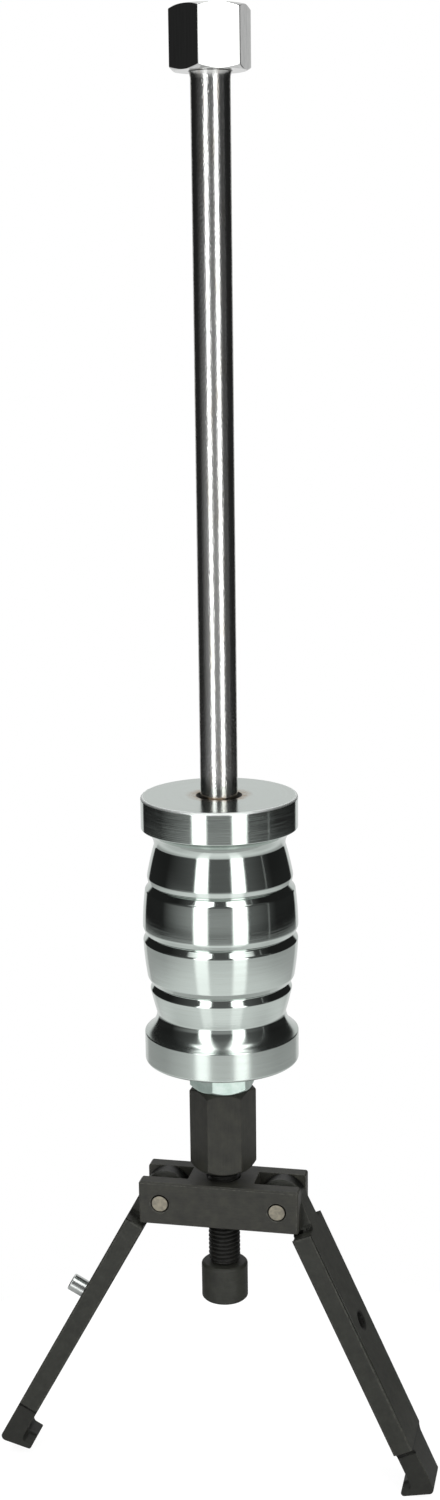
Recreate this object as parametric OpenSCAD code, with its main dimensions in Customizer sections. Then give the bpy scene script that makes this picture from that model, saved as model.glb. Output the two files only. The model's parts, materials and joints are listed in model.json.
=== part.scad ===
// Slide hammer puller with two swinging legs, in millimetres.
// Z points up along the rod. The origin is the centre of the crosshead:
// on the spindle's axis and level with the two pivot pins.
// The legs spread along X, and their pins lie along Y.

/* [Slide rod] */
// Diameter of the rod that the weight slides on
rod_d = 20; // [17:0.5:20.5]
// Free length of the rod from the lock nut to the end nut
rod_run = 510.7; // [300:0.1:700]
// Length of thread on the rod above the lock nut
rod_thread_run = 14; // [0:1:60]
// Distance from crest to crest of the rod's thread
rod_thread_pitch = 2.5; // [1.5:0.5:3]
// How much wider the rod grows, on the radius, under the end nut
rod_flare = 0.9; // [0.2:0.1:1.2]
// Length of that flare
rod_flare_run = 4; // [1:0.5:5]

/* [End nut] */
// Size across the flats of the end nut
end_nut_af = 36; // [30:0.5:50]
// Height of the end nut
end_nut_h = 29.9; // [20:0.1:50]
// Width of the bevel at the corners of the end nut
end_nut_bevel = 2.8; // [1:0.1:4]
// Slope of that bevel, in degrees from the nut's end face
end_nut_bevel_angle = 30; // [20:1:50]
// Turn of the end nut about the rod, in degrees
end_nut_turn = 26; // [0:1:60]
// How far the rod's end lies below the top of the end nut
rod_end_recess = 1.5; // [0:0.1:5]

/* [Sliding weight] */
// Largest diameter of the weight
weight_d = 84; // [60:1:110]
// Length of the weight
weight_len = 147.7; // [110:0.1:180]
// Diameter of the bore through the weight
weight_bore_d = 21; // [20.8:0.1:24]
// Width of the bevel at each mouth of the bore
weight_mouth_bevel = 2; // [0.5:0.1:4]
// Height of the flange at the top
top_flange_h = 17.2; // [8:0.1:25]
// Height of the hollow under the top flange
top_hollow_h = 9.2; // [5:0.1:14]
// Height of the flange at the bottom
bottom_flange_h = 16.2; // [8:0.1:25]
// Height of the hollow above the bottom flange
bottom_hollow_h = 11.4; // [5:0.1:16]
// Depth of the waist below the flanges, on the radius
waist_depth = 6.8; // [3:0.1:10]
// Number of grooves round the grip
groove_count = 3; // [1:1:3]
// Distance between the grooves
groove_spacing = 27.9; // [15:0.1:30]
// Width of each groove
groove_w = 7.2; // [3:0.1:10]
// Depth of each groove
groove_depth = 2.9; // [1:0.1:4]
// How far the grooves sit below the middle of the grip
groove_drop = 1.9; // [0:0.1:4]
// Bevel round the outer edges of the flanges
flange_bevel = 1; // [0.3:0.1:2]

/* [Lock nut and coupling nut] */
// Size across the flats of the lock nut
lock_nut_af = 32; // [28:0.5:40]
// Height of the lock nut
lock_nut_h = 17.3; // [10:0.1:25]
// Turn of the lock nut about the rod, in degrees
lock_nut_turn = 24.6; // [0:0.1:60]
// Size across the flats of the coupling nut
coupling_af = 32; // [28:0.5:40]
// Length of the coupling nut
coupling_len = 46.9; // [36:0.1:70]
// Turn of the coupling nut about the rod, in degrees
coupling_turn = 14.2; // [0:0.1:60]
// Width of the bevel at the corners of both nuts
nut_bevel = 3; // [1:0.1:4]
// Slope of that bevel, in degrees from the nuts' end faces
nut_bevel_angle = 38; // [20:1:50]
// Gap from the crosshead up to the coupling nut
neck_run = 6.5; // [3:0.1:20]
// Length of the rod's thread inside the coupling nut
rod_grip = 22; // [15:0.5:24]
// Length of the spindle's thread inside the coupling nut
spindle_grip = 22; // [10:0.5:24]

/* [Pressure spindle] */
// Diameter over the crests of the spindle's thread
thread_d = 17.7; // [15:0.1:19]
// Distance from crest to crest of the spindle's thread
thread_pitch = 2.5; // [1.5:0.5:3]
// Length of spindle from the crosshead down to the pressure cap
spindle_drop = 26.4; // [15:0.1:60]

/* [Crosshead] */
// Length of the crosshead
cross_len = 90; // [84:1:130]
// Width of the crosshead and of the legs, front to back
cross_w = 34; // [28:1:50]
// Height of the crosshead
cross_h = 25; // [20:0.5:25]
// Bevel along the edges of the crosshead
cross_bevel = 1; // [0.3:0.1:2]
// Width of the slot at each end for a leg
slot_w = 16.6; // [14:0.1:18]
// Length of each slot
slot_len = 26.3; // [26.2:0.1:28]
// Distance of each pivot pin from the end of the crosshead
pin_inset = 12; // [11:0.1:12.2]
// Diameter of the pivot pins
pin_d = 10; // [6:0.5:12]
// Bevel at the mouths of the pin holes
pin_mouth_bevel = 0.5; // [0.2:0.1:1]

/* [Legs] */
// Angle of the left leg from straight down, in degrees
left_splay = 28.4; // [10:0.1:60]
// Angle of the right leg from straight down, in degrees
right_splay = 24.3; // [10:0.1:60]
// Length of each leg below its pin, down to the heel
leg_len = 188.1; // [150:0.1:260]
// Radius of the round eye about the pin
eye_r = 12.5; // [9:0.1:13]
// Thickness of the leg bar at its shoulders
leg_t = 11.7; // [8:0.1:13]
// Thickness of the leg bar above the claw
claw_t = 11.5; // [8:0.1:13]
// Distance from the pin down to the shoulders of the leg
shoulder_drop = 18.4; // [18:0.1:25]
// Radius in the corner between the tongue and each shoulder
shoulder_fillet = 3; // [1:0.1:3]
// Radius in the corner between the eye and the inner face
eye_sweep = 5; // [2:0.5:6]
// Rounding of the shoulders' inner corners
shoulder_round = 1.5; // [0.5:0.1:2.5]
// Width of the claw
claw_w = 24; // [18:0.5:28]
// Length of the narrow claw, measured up from the leg's end
claw_run = 31.1; // [20:0.1:45]
// Radius of the run-out above the narrow claw
claw_fillet = 4.5; // [1:0.1:5]
// Thickness of the claw's lip at its tip
lip_t = 2.6; // [2:0.1:8]
// Slope of the claw's bottom, in degrees, up from the heel to the lip
claw_slope = 13; // [0:1:20]
// Reach of the lip past the inner face of the leg
lip_reach = 7.3; // [4:0.1:14]
// Radius under the tip of the lip
lip_round = 1.6; // [0.5:0.1:2]
// Radius of the heel of the claw
heel_round = 3; // [1:0.1:4]
// Radius in the corner of the gripping face
grip_fillet = 2.5; // [0.5:0.1:3]
// How much further out the leg lies at its heel than at its eye
heel_growth = 0.5; // [0:0.1:3]
// Bevel along the long edges of the leg
leg_bevel = 0.6; // [0.3:0.1:1]

/* [Stud and its holes] */
// Diameter of the stud
stud_d = 10; // [8:0.1:12]
// Length of the stud outside the leg
stud_out = 9.2; // [4:0.1:20]
// Distance from the pin down to the stud hole
stud_drop = 80.2; // [50:0.1:120]
// Distance from the pin down to the open hole in the right leg
hole_drop = 81.3; // [50:0.1:120]
// Core diameter of the threaded holes
hole_core_d = 8.5; // [6.5:0.1:9]
// Bevel at the mouth of each hole
hole_bevel = 1; // [0.5:0.1:1.5]

/* [Pressure cap] */
// Diameter of the pressure cap
cap_d = 26; // [22:0.5:34]
// Height of the pressure cap
cap_h = 22.1; // [20:0.1:30]
// Bevel round both edges of the cap
cap_bevel = 1.2; // [0.5:0.1:2]
// Diameter of the spindle's nose inside the cap
nose_d = 13; // [11:0.1:14]
// Length of the nose
nose_len = 10.4; // [9:0.1:12]
// Diameter of the thrust ball under the nose
ball_d = 8; // [6:0.1:9]
// Thickness of the wire of the retaining ring
ring_wire_d = 1.4; // [1:0.1:1.6]
// Depth of the ring below the top of the cap
ring_drop = 5; // [4:0.1:6]
// Open gap in the ring, in degrees
ring_gap = 40; // [20:1:90]

/* [Fits] */
// Radial clearance where a pin or a shaft turns
turn_clear = 0.05; // [0.02:0.01:0.1]
// Radial clearance where pieces are screwed or pressed together
grip_clear = 0.01; // [0.01:0.01:0.02]
// Small gap left between faces that don't carry on each other
face_gap = 0.3; // [0.1:0.1:0.5]
// Gap above and below the thrust ball
ball_gap = 0.05; // [0.02:0.01:0.1]

/* [Hidden] */

// Fineness of round features, and of the arcs in an outline
round_fn = 96;
arc_steps = 12;
barrel_steps = 40;
// Overrun of every cut past the face that it opens
cut = 1;

// Depth of a 60 degree thread for each unit of its pitch
thread_depth_share = 0.6;
// Width of the flat on each crest for each unit of the pitch
crest_share = 0.14;
// How far the core of a pitch's groove stays flat, for each unit of the pitch
root_share = 0.2;

pin_x = cross_len / 2 - pin_inset;
coupling_z = cross_h / 2 + neck_run;
lock_nut_z = coupling_z + coupling_len;
weight_z = lock_nut_z + lock_nut_h;
end_nut_z = weight_z + rod_run;
rod_bottom_z = lock_nut_z - rod_grip;
rod_top_z = end_nut_z + end_nut_h - rod_end_recess;
spindle_top_z = coupling_z + spindle_grip;
cap_top_z = -cross_h / 2 - spindle_drop;
cap_bottom_z = cap_top_z - cap_h;
nose_bottom_z = cap_top_z + face_gap - nose_len;
weight_r = weight_d / 2;
waist_r = weight_r - waist_depth;

// The grip is a long shallow arc between the two waists,
// with heights counted from the weight's bottom face
grip_low_z = bottom_flange_h + bottom_hollow_h;
grip_high_z = weight_len - top_flange_h - top_hollow_h;
grip_half = (grip_high_z - grip_low_z) / 2;
barrel_r = (pow(grip_half, 2) + pow(waist_depth, 2)) / (2 * waist_depth);

// Values in a leg's own frame: s runs down the leg from the pin's axis,
// and u points outwards, square to the leg. Its faces lean by their slopes
heel_u = eye_r + heel_growth;
claw_s = leg_len - claw_run;
heel_s = leg_len - heel_round * (tan(claw_slope) + 1 / cos(claw_slope));
outer_slope = heel_growth / heel_s;
inner_slope = outer_slope + (leg_t - claw_t) / (claw_s - shoulder_drop);
inner_u = eye_r + outer_slope * shoulder_drop - leg_t - inner_slope * shoulder_drop;
tip_u = inner_u + inner_slope * leg_len - lip_reach;
lip_rise = (heel_u - tip_u) * tan(claw_slope);
grip_s = leg_len - lip_rise - lip_t;
tongue_w = slot_w - 2 * face_gap;
hole_mouth_d = hole_core_d + 2 * hole_bevel;

// Points of an arc about a centre, from one angle to another
function arc(c, r, from, to, steps) = [
    for (i = [0 : steps])
        let (a = from + (to - from) * i / steps)
            [c.x + r * cos(a), c.y + r * sin(a)]
];

// A hexagonal nut that stands on z = 0, with its corners bevelled by a cone
module hex_blank(across, height, bevel, bevel_angle) {
    corner_r = across / sqrt(3);
    rise = bevel * tan(bevel_angle);
    spare = cut * tan(bevel_angle);
    intersection() {
        cylinder(h = height, r = corner_r, $fn = 6);
        rotate_extrude($fn = round_fn)
            polygon([
                [0, 0],
                [corner_r - bevel, 0],
                [corner_r + cut, rise + spare],
                [corner_r + cut, height - rise - spare],
                [corner_r - bevel, height],
                [0, height]
            ]);
    }
}

// A bevelled mouth of a round hole: its rim lies at z = 0 and it opens upwards
module mouth(hole_r, bevel) {
    translate([0, 0, -bevel])
        cylinder(h = bevel + cut, r1 = hole_r, r2 = hole_r + bevel + cut, $fn = round_fn);
}

// Half outline of a screw's ridges, drawn as rings from z = 0 upwards
function ridges(crest_r, pitch, count) =
    let (
        root_r = crest_r - pitch * thread_depth_share,
        crest = pitch * crest_share,
        root = pitch * root_share,
        flank = (pitch - crest - root) / 2
    )
    [
        for (i = [0 : count - 1])
            each [
                [crest_r, i * pitch],
                [crest_r, i * pitch + crest],
                [root_r, i * pitch + crest + flank],
                [root_r, i * pitch + crest + flank + root]
            ]
    ];

// A round bar with ridges from z = 0 up to its full length
module ridged_bar(crest_r, pitch, length) {
    count = floor(length / pitch);
    start = length - count * pitch;
    rotate_extrude($fn = round_fn)
        polygon(concat(
            [[0, 0], [crest_r - pitch * thread_depth_share, 0]],
            [for (p = ridges(crest_r, pitch, count)) [p.x, p.y + start]],
            [[crest_r, length], [0, length]]
        ));
}

module end_nut() {
    color("silver")
    translate([0, 0, end_nut_z])
    rotate([0, 0, end_nut_turn])
    difference() {
        hex_blank(end_nut_af, end_nut_h, end_nut_bevel, end_nut_bevel_angle);
        translate([0, 0, -cut])
            cylinder(h = end_nut_h + 2 * cut, r = rod_d / 2 + grip_clear, $fn = round_fn);
        translate([0, 0, end_nut_h])
            mouth(rod_d / 2 + grip_clear, rod_end_recess);
        mirror([0, 0, 1])
            mouth(rod_d / 2 + grip_clear, rod_flare + face_gap);
    }
}

module slide_rod() {
    thread_top_z = weight_z + rod_thread_run;
    flare_z = end_nut_z - rod_flare_run;
    flare_r = (pow(rod_flare_run, 2) + pow(rod_flare, 2)) / (2 * rod_flare);
    flare_turn = asin(rod_flare_run / flare_r);
    color("gainsboro")
    union() {
        translate([0, 0, rod_bottom_z])
            ridged_bar(rod_d / 2, rod_thread_pitch, thread_top_z - rod_bottom_z);
        translate([0, 0, thread_top_z])
            cylinder(h = rod_top_z - thread_top_z, r = rod_d / 2, $fn = round_fn);
        rotate_extrude($fn = round_fn)
            polygon(concat(
                [[0, flare_z]],
                arc([rod_d / 2 + flare_r, flare_z], flare_r, 180, 180 - flare_turn, arc_steps),
                [[0, end_nut_z]]
            ));
    }
}

// Half outline of the weight, from its bottom face at z = 0
function weight_outline() =
    let (
        low_r = (pow(waist_depth, 2) + pow(bottom_hollow_h, 2)) / (2 * waist_depth),
        low_turn = asin(bottom_hollow_h / low_r),
        high_r = (pow(waist_depth, 2) + pow(top_hollow_h, 2)) / (2 * waist_depth),
        high_turn = asin(top_hollow_h / high_r),
        barrel_turn = asin(grip_half / barrel_r)
    )
    concat(
        [
            [0, 0],
            [weight_r - flange_bevel, 0],
            [weight_r, flange_bevel],
            [weight_r, bottom_flange_h]
        ],
        arc([waist_r + low_r, grip_low_z], low_r, 180 + low_turn, 180, arc_steps),
        arc([weight_r - barrel_r, grip_low_z + grip_half], barrel_r,
            -barrel_turn, barrel_turn, barrel_steps),
        arc([waist_r + high_r, grip_high_z], high_r, 180, 180 - high_turn, arc_steps),
        [
            [weight_r, weight_len - flange_bevel],
            [weight_r - flange_bevel, weight_len],
            [0, weight_len]
        ]
    );

// Heights of the grooves above the middle of the grip
function groove_heights() =
    [for (i = [0 : groove_count - 1])
        (i - (groove_count - 1) / 2) * groove_spacing - groove_drop];

// Radius of the grip at a height above its middle
function grip_r(z) = weight_r - barrel_r + sqrt(pow(barrel_r, 2) - pow(z, 2));

module sliding_weight() {
    bore_r = weight_bore_d / 2;
    color("lightgray")
    translate([0, 0, weight_z])
    difference() {
        rotate_extrude($fn = round_fn) polygon(weight_outline());
        for (z = groove_heights())
            translate([0, 0, grip_low_z + grip_half + z])
                rotate_extrude($fn = round_fn)
                    polygon([
                        [grip_r(z) - groove_depth, 0],
                        [grip_r(z) + groove_depth, groove_w],
                        [grip_r(z) + groove_depth, -groove_w]
                    ]);
        translate([0, 0, -cut])
            cylinder(h = weight_len + 2 * cut, r = bore_r, $fn = round_fn);
        translate([0, 0, weight_len])
            mouth(bore_r, weight_mouth_bevel);
        mirror([0, 0, 1])
            mouth(bore_r, weight_mouth_bevel);
    }
}

module lock_nut() {
    color("darkseagreen")
    translate([0, 0, lock_nut_z])
    rotate([0, 0, lock_nut_turn])
    difference() {
        hex_blank(lock_nut_af, lock_nut_h, nut_bevel, nut_bevel_angle);
        translate([0, 0, -cut])
            cylinder(h = lock_nut_h + 2 * cut, r = rod_d / 2 + grip_clear, $fn = round_fn);
    }
}

module coupling_nut() {
    color("dimgray")
    translate([0, 0, coupling_z])
    rotate([0, 0, coupling_turn])
    difference() {
        hex_blank(coupling_af, coupling_len, nut_bevel, nut_bevel_angle);
        translate([0, 0, -cut])
            cylinder(h = coupling_len, r = thread_d / 2 + grip_clear, $fn = round_fn);
        translate([0, 0, coupling_len - rod_grip])
            cylinder(h = rod_grip + cut, r = rod_d / 2 + grip_clear, $fn = round_fn);
    }
}

module pressure_spindle() {
    shoulder_z = cap_top_z + face_gap;
    ring_z = cap_top_z - ring_drop;
    ring_r = nose_d / 2 + turn_clear;
    color("darkslategray")
    difference() {
        union() {
            translate([0, 0, shoulder_z])
                ridged_bar(thread_d / 2, thread_pitch, spindle_top_z - shoulder_z);
            translate([0, 0, nose_bottom_z])
                cylinder(h = nose_len, r = nose_d / 2, $fn = round_fn);
        }
        translate([0, 0, ring_z])
            rotate_extrude($fn = round_fn)
                polygon([
                    [ring_r - ring_wire_d / 2 - face_gap, -ring_wire_d / 2 - face_gap],
                    [ring_r + ring_wire_d, -ring_wire_d / 2 - face_gap],
                    [ring_r + ring_wire_d, ring_wire_d / 2 + face_gap],
                    [ring_r - ring_wire_d / 2 - face_gap, ring_wire_d / 2 + face_gap]
                ]);
    }
}

// A rectangle with its four corners bevelled
module bevelled_plate(x, y, bevel) {
    polygon([
        [-x / 2 + bevel, -y / 2], [x / 2 - bevel, -y / 2],
        [x / 2, -y / 2 + bevel], [x / 2, y / 2 - bevel],
        [x / 2 - bevel, y / 2], [-x / 2 + bevel, y / 2],
        [-x / 2, y / 2 - bevel], [-x / 2, -y / 2 + bevel]
    ]);
}

// A block centred on the origin with all twelve edges bevelled
module bevelled_block(x, y, z, bevel) {
    intersection() {
        linear_extrude(height = z, center = true) bevelled_plate(x, y, bevel);
        rotate([90, 0, 0])
            linear_extrude(height = y, center = true) bevelled_plate(x, z, bevel);
        rotate([90, 0, 90])
            linear_extrude(height = x, center = true) bevelled_plate(y, z, bevel);
    }
}

// A bar through the crosshead where a pivot pin goes
module pin_bar(r, length) {
    rotate([90, 0, 0])
        cylinder(h = length, r = r, center = true, $fn = round_fn);
}

module crosshead() {
    pin_hole_r = pin_d / 2 + grip_clear;
    screw_r = thread_d / 2 + turn_clear;
    color("darkslategray")
    difference() {
        bevelled_block(cross_len, cross_w, cross_h, cross_bevel);
        translate([0, 0, -cross_h / 2 - cut])
            cylinder(h = cross_h + 2 * cut, r = screw_r, $fn = round_fn);
        for (up = [0, 1])
            mirror([0, 0, up])
                translate([0, 0, cross_h / 2])
                    mouth(screw_r, cross_bevel);
        for (side = [-1, 1]) {
            translate([side * (cross_len / 2 + cut - (slot_len + cut) / 2), 0, 0])
                cube([slot_len + cut, slot_w, cross_h + 2 * cut], center = true);
            translate([side * pin_x, 0, 0]) {
                pin_bar(pin_hole_r, cross_w + 2 * cut);
                for (turn = [90, -90])
                    rotate([turn, 0, 0])
                        translate([0, 0, cross_w / 2])
                            mouth(pin_hole_r, pin_mouth_bevel);
            }
        }
    }
}

module pivot_pin() {
    bevel = pin_mouth_bevel;
    color("silver")
    rotate([90, 0, 0])
    rotate_extrude($fn = round_fn)
        polygon([
            [0, -cross_w / 2],
            [pin_d / 2 - bevel, -cross_w / 2],
            [pin_d / 2, -cross_w / 2 + bevel],
            [pin_d / 2, cross_w / 2 - bevel],
            [pin_d / 2 - bevel, cross_w / 2],
            [0, cross_w / 2]
        ]);
}

module left_pivot_pin() {
    translate([-pin_x, 0, 0]) pivot_pin();
}

module right_pivot_pin() {
    translate([pin_x, 0, 0]) pivot_pin();
}

// Where the leg's two faces lie at a distance s below the pin
function outer_at(s) = eye_r + outer_slope * s;
function inner_at(s) = inner_u + inner_slope * s;

// Side outline of a leg below its eye: x is u, outwards, and y is minus s, up the leg
module leg_side() {
    sweep_u = inner_at(shoulder_drop) - eye_sweep;
    sweep_s = sqrt(pow(eye_r + eye_sweep, 2) - pow(sweep_u, 2));
    sweep_turn = atan2(sweep_s, -sweep_u);
    heel_c = heel_u - heel_round;
    lip_c = tip_u + lip_round;
    lip_s = leg_len - (heel_u - lip_c) * tan(claw_slope) - lip_round / cos(claw_slope);
    grip_u = inner_at(grip_s - grip_fillet);
    polygon(concat(
        [[0, 0], [eye_r, 0]],
        arc([heel_c, -heel_s], heel_round, 0, -90 - claw_slope, arc_steps),
        arc([lip_c, -lip_s], lip_round, -90 - claw_slope, -180, arc_steps),
        [[tip_u, -grip_s]],
        arc([grip_u - grip_fillet, grip_fillet - grip_s], grip_fillet, -90, 0, arc_steps),
        arc([sweep_u, -sweep_s], eye_sweep, 0, sweep_turn, arc_steps)
    ));
}

// Front outline of a leg: x runs front to back, and y is minus s, up the leg
module leg_front() {
    half = cross_w / 2;
    tongue = tongue_w / 2;
    claw = claw_w / 2;
    // One edge of the outline, from the top down
    edge = concat(
        [[tongue, eye_r + cut]],
        arc([tongue + shoulder_fillet, shoulder_fillet - shoulder_drop], shoulder_fillet,
            180, 270, arc_steps),
        [[half - leg_bevel, -shoulder_drop], [half, -shoulder_drop - leg_bevel]],
        [[half, -claw_s]],
        arc([claw + claw_fillet, -claw_s - claw_fillet], claw_fillet, 90, 180, arc_steps),
        [[claw, -leg_len - cut]]
    );
    polygon(concat(
        edge,
        [for (i = [len(edge) - 1 : -1 : 0]) [-edge[i].x, edge[i].y]]
    ));
}

// A long cutter that bevels one edge of the leg bar, laid along a face that
// leans outwards by a slope
module edge_cutter(slope) {
    span = claw_s - shoulder_drop + 2 * cut;
    rotate([0, -atan(slope), 0])
        translate([0, 0, -claw_s - cut])
            linear_extrude(height = span)
                rotate([0, 0, 45])
                    square([leg_bevel * sqrt(2), leg_bevel * sqrt(2)], center = true);
}

// A cutter that rounds the inner corner of each shoulder
module shoulder_corner() {
    corner_u = inner_at(shoulder_drop + shoulder_round);
    side_w = (cross_w - tongue_w) / 2 - shoulder_fillet;
    for (side = [-1, 1])
        translate([0, side * (cross_w / 2 - side_w / 2), 0])
            rotate([90, 0, 0])
                linear_extrude(height = side_w + cut, center = true)
                    polygon(concat(
                        arc([corner_u + shoulder_round, -shoulder_drop - shoulder_round],
                            shoulder_round, 180, 90, arc_steps),
                        [[corner_u - cut, cut - shoulder_drop]]
                    ));
}

// A right leg that hangs straight down from its pin, with its hole
module straight_leg(drop) {
    bore_r = pin_d / 2 + turn_clear;
    hole_r = hole_core_d / 2;
    difference() {
        union() {
            pin_bar(eye_r, tongue_w);
            intersection() {
                rotate([90, 0, 0])
                    linear_extrude(height = cross_w, center = true) leg_side();
                rotate([90, 0, 90])
                    translate([0, 0, tip_u - eye_r])
                        linear_extrude(height = heel_u - tip_u + 2 * eye_r) leg_front();
            }
        }
        pin_bar(bore_r, cross_w);
        for (edge_y = [-cross_w / 2, cross_w / 2]) {
            translate([eye_r, edge_y, 0]) edge_cutter(outer_slope);
            translate([inner_u, edge_y, 0]) edge_cutter(inner_slope);
        }
        shoulder_corner();
        translate([inner_at(drop) - cut, 0, -drop])
            rotate([0, 90, 0])
                cylinder(h = leg_t + 2 * cut, r = hole_r, $fn = round_fn);
        translate([outer_at(drop), 0, -drop])
            rotate([0, 90, 0])
                mouth(hole_r, hole_bevel);
    }
}

// Places a leg's own frame on the right pin at its rest angle
module on_right_pin() {
    translate([pin_x, 0, 0]) rotate([0, -right_splay, 0]) children();
}

// The same on the left pin, mirrored
module on_left_pin() {
    translate([-pin_x, 0, 0]) rotate([0, left_splay, 0]) mirror([1, 0, 0]) children();
}

module left_leg() {
    color("darkslategray") on_left_pin() straight_leg(stud_drop);
}

module right_leg() {
    color("darkslategray") on_right_pin() straight_leg(hole_drop);
}

// A plain stud that is screwed into the left leg from outside
module leg_stud() {
    core_r = hole_core_d / 2 - grip_clear;
    stud_r = stud_d / 2;
    seat = stud_r - core_r;
    color("gainsboro")
    on_left_pin()
    translate([outer_at(stud_drop), 0, -stud_drop])
    rotate([0, 90, 0])
    rotate_extrude($fn = round_fn)
        polygon([
            [0, -claw_t],
            [core_r, -claw_t],
            [core_r, -seat],
            [stud_r, 0],
            [stud_r, stud_out - leg_bevel],
            [stud_r - leg_bevel, stud_out],
            [0, stud_out]
        ]);
}

module pressure_cap() {
    bore_r = nose_d / 2 + turn_clear;
    ring_r = bore_r;
    pocket_top_z = nose_bottom_z - face_gap;
    pocket_bottom_z = nose_bottom_z - ball_d - 2 * ball_gap;
    color("dimgray")
    difference() {
        translate([0, 0, cap_bottom_z])
            rotate_extrude($fn = round_fn)
                polygon([
                    [0, 0],
                    [cap_d / 2 - cap_bevel, 0],
                    [cap_d / 2, cap_bevel],
                    [cap_d / 2, cap_h - cap_bevel],
                    [cap_d / 2 - cap_bevel, cap_h],
                    [0, cap_h]
                ]);
        translate([0, 0, pocket_top_z])
            cylinder(h = cap_top_z - pocket_top_z + cut, r = bore_r, $fn = round_fn);
        translate([0, 0, pocket_bottom_z])
            cylinder(h = pocket_top_z - pocket_bottom_z + cut, r = ball_d / 2 + turn_clear,
                $fn = round_fn);
        translate([0, 0, cap_top_z - ring_drop])
            rotate_extrude($fn = round_fn)
                polygon([
                    [ring_r - ring_wire_d, -ring_wire_d / 2 - ball_gap],
                    [ring_r + ring_wire_d / 2 + ball_gap, -ring_wire_d / 2 - ball_gap],
                    [ring_r + ring_wire_d / 2 + ball_gap, ring_wire_d / 2 + ball_gap],
                    [ring_r - ring_wire_d, ring_wire_d / 2 + ball_gap]
                ]);
    }
}

module thrust_ball() {
    color("silver")
    translate([0, 0, nose_bottom_z - ball_gap - ball_d / 2])
        sphere(r = ball_d / 2, $fn = round_fn);
}

module cap_retaining_ring() {
    ring_r = nose_d / 2 + turn_clear;
    color("darkgray")
    translate([0, 0, cap_top_z - ring_drop])
    rotate([0, 0, ring_gap / 2])
    rotate_extrude(angle = 360 - ring_gap, $fn = round_fn)
        translate([ring_r, 0])
            circle(r = ring_wire_d / 2, $fn = round_fn);
}

end_nut();
slide_rod();
sliding_weight();
lock_nut();
coupling_nut();
pressure_spindle();
crosshead();
left_pivot_pin();
right_pivot_pin();
left_leg();
right_leg();
leg_stud();
pressure_cap();
thrust_ball();
cap_retaining_ring();
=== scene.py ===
# %% [markdown]
# # Slide hammer puller
# The tool has a bright rod with a heavy weight on it. The weight is thrown up against the chromed
# nut at the top, and each blow pulls on the two clawed legs below. The shapes come from a CAD
# model, which this script loads first. Each piece is then made again with rounded edges, cut
# threads and a finish of its own, and it stands in for its CAD node.

import json
import math

import bmesh
import bpy
import numpy as np
from mathutils import Matrix, Vector


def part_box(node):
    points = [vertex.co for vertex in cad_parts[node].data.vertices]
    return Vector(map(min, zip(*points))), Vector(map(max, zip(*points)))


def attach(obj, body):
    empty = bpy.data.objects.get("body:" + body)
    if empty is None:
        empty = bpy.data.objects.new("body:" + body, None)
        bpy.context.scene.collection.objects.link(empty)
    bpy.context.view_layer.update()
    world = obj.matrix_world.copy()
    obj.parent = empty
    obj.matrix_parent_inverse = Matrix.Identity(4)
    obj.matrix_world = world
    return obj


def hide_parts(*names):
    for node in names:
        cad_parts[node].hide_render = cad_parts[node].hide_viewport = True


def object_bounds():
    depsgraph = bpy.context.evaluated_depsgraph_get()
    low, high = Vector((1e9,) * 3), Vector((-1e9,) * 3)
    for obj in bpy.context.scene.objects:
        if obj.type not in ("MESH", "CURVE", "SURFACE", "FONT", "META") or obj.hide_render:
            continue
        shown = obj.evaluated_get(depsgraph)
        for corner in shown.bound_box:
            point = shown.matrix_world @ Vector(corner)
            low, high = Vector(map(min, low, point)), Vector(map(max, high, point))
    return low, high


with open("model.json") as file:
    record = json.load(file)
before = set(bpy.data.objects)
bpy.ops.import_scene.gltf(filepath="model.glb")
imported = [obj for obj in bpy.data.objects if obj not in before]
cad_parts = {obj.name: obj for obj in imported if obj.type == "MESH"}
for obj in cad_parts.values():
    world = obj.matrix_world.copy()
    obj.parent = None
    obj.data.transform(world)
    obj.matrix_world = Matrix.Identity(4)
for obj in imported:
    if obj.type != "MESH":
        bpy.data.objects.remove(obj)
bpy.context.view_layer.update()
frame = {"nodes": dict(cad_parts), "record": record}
MM = 0.001

# %% [markdown]
# ## The camera
# A camera can be placed by eye or worked out. Here the outlines of the nuts, weight, block and
# legs in the photograph were fitted with one pinhole camera, which gives its place, its turn and
# its focal length together. The photograph was cropped off centre, so the lens is shifted.

# %% Camera
PHOTO_W, PHOTO_H = 440, 1500
CAMERA_AT = Vector((0.228588, -1.078967, 0.493333))
CAMERA_TURN = math.radians(12.41543)
CAMERA_DIP = math.radians(14.88561)
CAMERA_ROLL = math.radians(-0.81479)
FOCAL_PX = 2130.238
CENTRE_X_PX, CENTRE_Y_PX = 203.4415, 850.6645
SENSOR_MM = 36


def camera_axes(turn, dip, roll):
    """Right, up and back directions of a camera that looks along Y, turned to its left, dipped
    below the horizon and rolled about its own line of sight."""
    ahead = Vector((-math.sin(turn) * math.cos(dip), math.cos(turn) * math.cos(dip), -math.sin(dip)))
    level_right = Vector((math.cos(turn), math.sin(turn), 0))
    level_up = level_right.cross(ahead)
    right = math.cos(roll) * level_right + math.sin(roll) * level_up
    up = math.cos(roll) * level_up - math.sin(roll) * level_right
    return right, up, -ahead


camera_data = bpy.data.cameras.new("camera")
camera_data.sensor_fit = "AUTO"
camera_data.sensor_width = SENSOR_MM
camera_data.lens = FOCAL_PX * SENSOR_MM / PHOTO_H
camera_data.shift_x = (PHOTO_W / 2 - CENTRE_X_PX) / PHOTO_H
camera_data.shift_y = (CENTRE_Y_PX - PHOTO_H / 2) / PHOTO_H
camera = bpy.data.objects.new("camera", camera_data)
bpy.context.scene.collection.objects.link(camera)
axes = camera_axes(CAMERA_TURN, CAMERA_DIP, CAMERA_ROLL)
camera.matrix_world = Matrix.Translation(CAMERA_AT) @ Matrix(axes).transposed().to_4x4()
bpy.context.scene.camera = camera
print("Lens in mm:", round(camera_data.lens, 2))

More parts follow.
